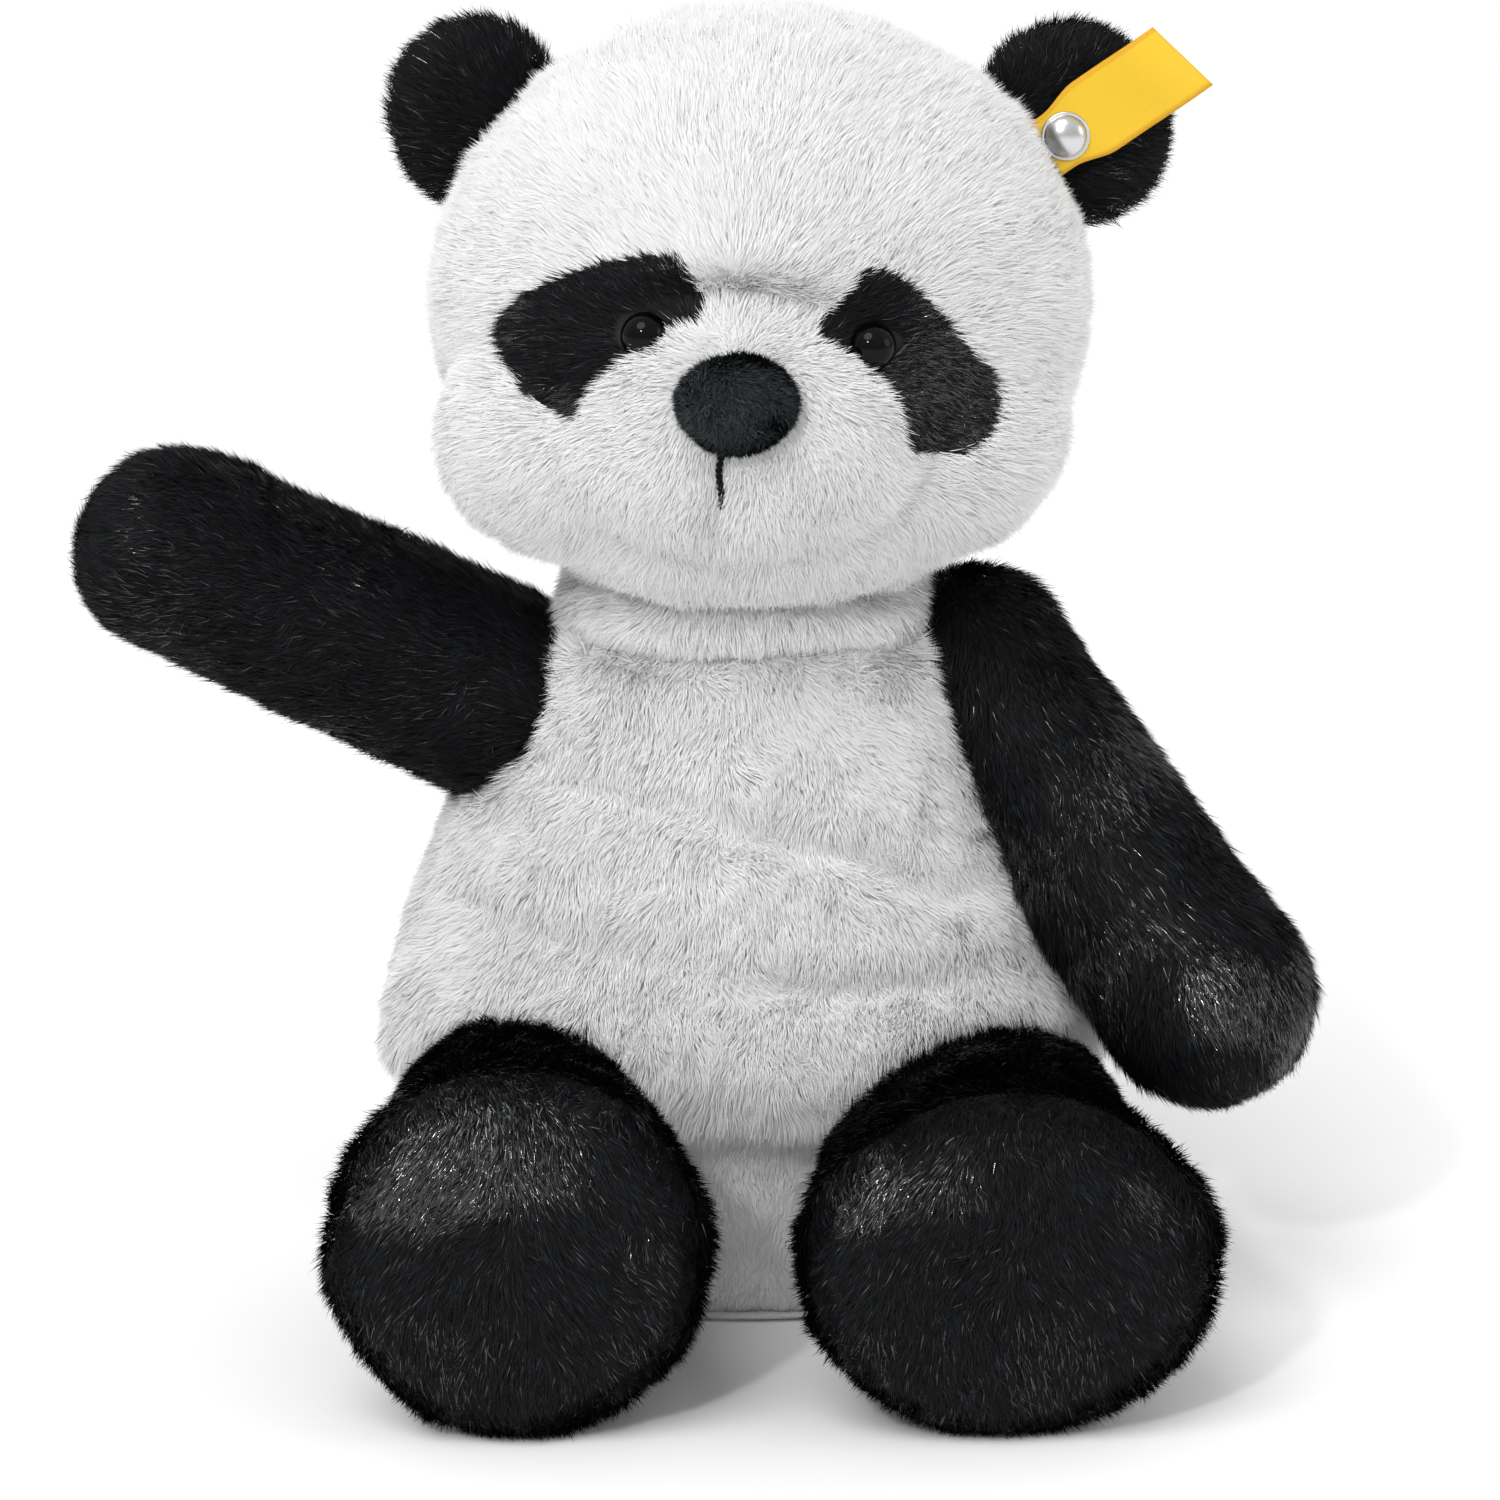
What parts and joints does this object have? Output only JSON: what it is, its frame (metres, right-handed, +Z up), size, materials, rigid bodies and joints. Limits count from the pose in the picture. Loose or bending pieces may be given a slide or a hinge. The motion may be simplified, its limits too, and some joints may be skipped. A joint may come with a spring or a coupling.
{
  "type": "plush panda",
  "caption": "Seated plush panda with a soft turning head, one raised arm, springy limbs and ears, and a woven ear label held by a rivet.",
  "frame": {"origin": "middle of the flat seat panel that the toy rests on", "axes": "+Z up, the face looks along -Y, and the toy's own left side is +X"},
  "size_m": [0.2495, 0.1607, 0.2615],
  "materials": {
    "white_pile": "soft long pile",
    "black_pile": "soft long pile",
    "nose_pile": "short pile",
    "stuffing": "loose fibre",
    "pouch_cloth": "plain weave",
    "pellets": "matte",
    "black_thread": "satin",
    "white_thread": "satin",
    "eye_plastic": "polished",
    "washer_plastic": "matte",
    "rivet_metal": "polished",
    "label_weave": "woven satin"
  },
  "bodies": {
    "torso": {"torso_front_panel": "white_pile", "torso_back_panel": "white_pile", "torso_base_panel": "white_pile", "torso_stuffing": "stuffing", "pellet_pouch": "pouch_cloth", "seat_pellets": "pellets", "closing_stitches": "white_thread"},
    "neck": {"neck_band": "white_pile"},
    "head": {"head_gusset": "white_pile", "head_left_panel": "white_pile", "head_right_panel": "white_pile", "muzzle_panel": "white_pile", "nose": "nose_pile", "mouth_stitch": "black_thread", "left_eye_patch": "black_pile", "right_eye_patch": "black_pile", "left_eye": "eye_plastic", "right_eye": "eye_plastic", "left_eye_washer": "washer_plastic", "right_eye_washer": "washer_plastic", "head_stuffing": "stuffing"},
    "left_ear": {"left_ear_front": "black_pile", "left_ear_back": "black_pile", "ear_rivet_cap": "rivet_metal", "ear_rivet_back": "rivet_metal", "label_tab": "label_weave"},
    "label": {"label_flag": "label_weave"},
    "right_ear": {"right_ear_front": "black_pile", "right_ear_back": "black_pile"},
    "left_arm": {"left_arm_front_panel": "black_pile", "left_arm_back_panel": "black_pile", "left_arm_stuffing": "stuffing"},
    "right_arm": {"right_arm_front_panel": "black_pile", "right_arm_back_panel": "black_pile", "right_arm_stuffing": "stuffing"},
    "left_leg": {"left_leg_upper": "black_pile", "left_leg_sole": "black_pile", "left_leg_stuffing": "stuffing"},
    "right_leg": {"right_leg_upper": "black_pile", "right_leg_sole": "black_pile", "right_leg_stuffing": "stuffing"}
  },
  "joints": [
    {"name": "neck_turn", "type": "hinge", "parent": "torso", "child": "neck", "pos_m": [0, -0.006, 0.152], "axis": [0, 0, 1], "range_deg": [-35, 35], "stiffness_Nm_per_rad": 0.6},
    {"name": "neck_nod", "type": "hinge", "parent": "neck", "child": "head", "pos_m": [0, -0.006, 0.152], "axis": [1, 0, 0], "range_deg": [-10, 12], "stiffness_Nm_per_rad": 1.2},
    {"name": "left_ear_flex", "type": "hinge", "parent": "head", "child": "left_ear", "pos_m": [0.05903, 0.002, 0.23506], "axis": [0.4728, 0, -0.8812], "range_deg": [-15, 8], "stiffness_Nm_per_rad": 0.05},
    {"name": "right_ear_flex", "type": "hinge", "parent": "head", "child": "right_ear", "pos_m": [-0.05042, 0.002, 0.23857], "axis": [0.532, 0, 0.8467], "range_deg": [-15, 15], "stiffness_Nm_per_rad": 0.05},
    {"name": "label_flap", "type": "hinge", "parent": "left_ear", "child": "label", "pos_m": [0.07, -0.0085, 0.24199], "axis": [0.5678, 0, -0.8231], "range_deg": [-3, 40], "stiffness_Nm_per_rad": 0.002},
    {"name": "left_shoulder", "type": "hinge", "parent": "torso", "child": "left_arm", "pos_m": [0.0465, -0.006, 0.131], "axis": [0, -1, 0], "range_deg": [0, 50], "stiffness_Nm_per_rad": 0.25},
    {"name": "right_shoulder", "type": "hinge", "parent": "torso", "child": "right_arm", "pos_m": [-0.047, -0.005, 0.122], "axis": [0, 1, 0], "range_deg": [-24, 20], "stiffness_Nm_per_rad": 0.4},
    {"name": "left_hip", "type": "hinge", "parent": "torso", "child": "left_leg", "pos_m": [0.046, -0.03, 0.036], "axis": [-1, 0, 0], "range_deg": [-10, 10], "stiffness_Nm_per_rad": 0.8},
    {"name": "right_hip", "type": "hinge", "parent": "torso", "child": "right_leg", "pos_m": [-0.043, -0.03, 0.037], "axis": [-1, 0, 0], "range_deg": [-10, 10], "stiffness_Nm_per_rad": 0.8}
  ]
}
